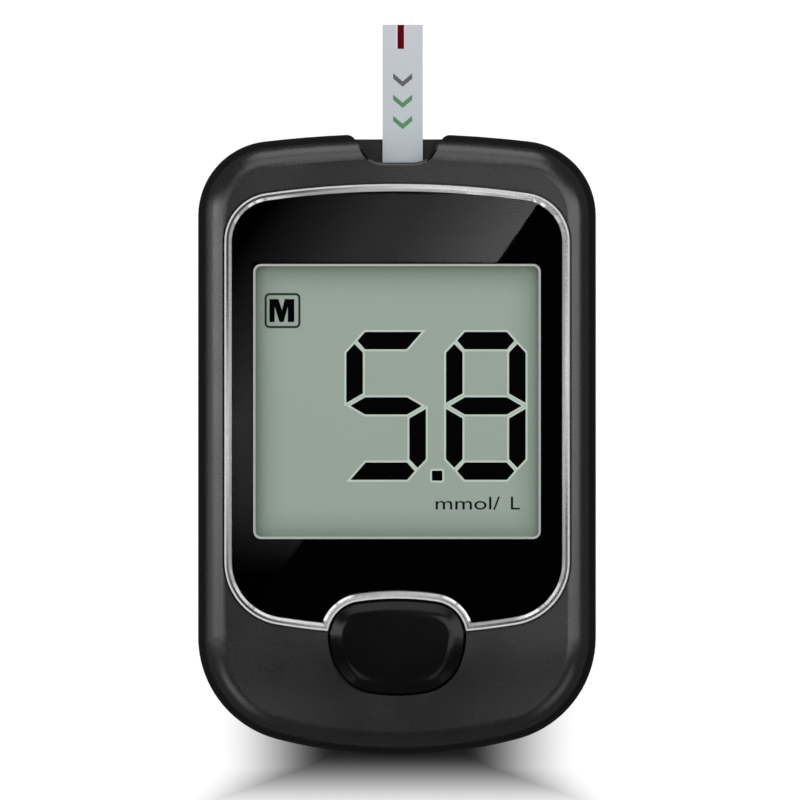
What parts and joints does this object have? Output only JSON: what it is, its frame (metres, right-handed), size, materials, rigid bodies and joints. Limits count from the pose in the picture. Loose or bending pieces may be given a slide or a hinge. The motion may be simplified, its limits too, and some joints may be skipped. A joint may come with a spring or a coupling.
{
  "type": "blood glucose meter",
  "caption": "Flat pocket glucose meter with a large display window in a bright ring, a wide oval button below it and a test strip in the end port.",
  "frame": {"origin": "centre of the flat back face of the case, midway along and across it", "axes": "+Z out of the display side, +Y towards the test strip end, +X to the right for someone reading the display"},
  "size_m": [0.0562, 0.1033, 0.0211],
  "materials": {
    "case_black": "satin moulded ABS",
    "bezel_chrome": "bright plated",
    "lens_clear": "clear hard coated plastic",
    "mask_black": "gloss print",
    "gasket_black": "foam adhesive",
    "lcd_glass": "clear glass",
    "lcd_film": "grey green polarising film",
    "lcd_reflector": "diffuse reflecting film",
    "frame_white": "moulded",
    "zebra_rubber": "striped silicone",
    "board_green": "solder resist",
    "chip_black": "moulded epoxy",
    "can_steel": "drawn can",
    "screw_steel": "zinc plated",
    "spring_steel": "nickel plated wire",
    "contact_brass": "gold flashed",
    "cell_jacket": "printed jacket over a steel can",
    "button_black": "smooth satin",
    "port_black": "fine matt",
    "buzzer_black": "moulded",
    "label_grey": "blank label",
    "strip_white": "coated polyester",
    "strip_carbon": "printed carbon",
    "strip_clear": "thin film",
    "mark_red": "printed"
  },
  "bodies": {
    "meter_body": {"front_case": "case_black", "rear_case": "case_black", "case_screws": "screw_steel", "bezel_trim": "bezel_chrome", "display_lens": "lens_clear", "lens_mask": "mask_black", "lens_gasket": "gasket_black", "lcd_front_glass": "lcd_glass", "lcd_rear_glass": "lcd_glass", "lcd_polarizer": "lcd_film", "lcd_reflector": "lcd_reflector", "lcd_frame": "frame_white", "zebra_connectors": "zebra_rubber", "main_board": "board_green", "board_screws": "screw_steel", "mcu_chip": "chip_black", "board_chips": "chip_black", "crystal_can": "can_steel", "piezo_buzzer": "buzzer_black", "strip_connector_housing": "port_black", "strip_connector_contacts": "contact_brass", "strip_port_insert": "port_black", "main_switch_body": "can_steel", "battery_left": "cell_jacket", "battery_right": "cell_jacket", "battery_spring_left": "spring_steel", "battery_spring_right": "spring_steel", "battery_plates": "spring_steel", "battery_bridge": "spring_steel", "rear_label": "label_grey"},
    "main_button": {"main_button_cap": "button_black", "main_switch_plunger": "chip_black"},
    "cover": {"battery_cover": "case_black"},
    "test_strip": {"strip_base": "strip_white", "strip_electrodes": "strip_carbon", "strip_spacer": "strip_clear", "strip_top_film": "strip_white", "strip_fill_mark": "mark_red"}
  },
  "joints": [
    {"name": "button_press", "type": "slide", "parent": "meter_body", "child": "main_button", "axis": [0, 0, -1], "range_m": [0, 0.0005], "stiffness_N_per_m": 3000, "springref_m": -0.0002},
    {"name": "cover_slide", "type": "slide", "parent": "meter_body", "child": "cover", "axis": [0, -1, 0], "range_m": [0, 0.046]},
    {"name": "strip_slide", "type": "slide", "parent": "meter_body", "child": "test_strip", "axis": [0, 1, 0], "range_m": [0, 0.012]}
  ]
}
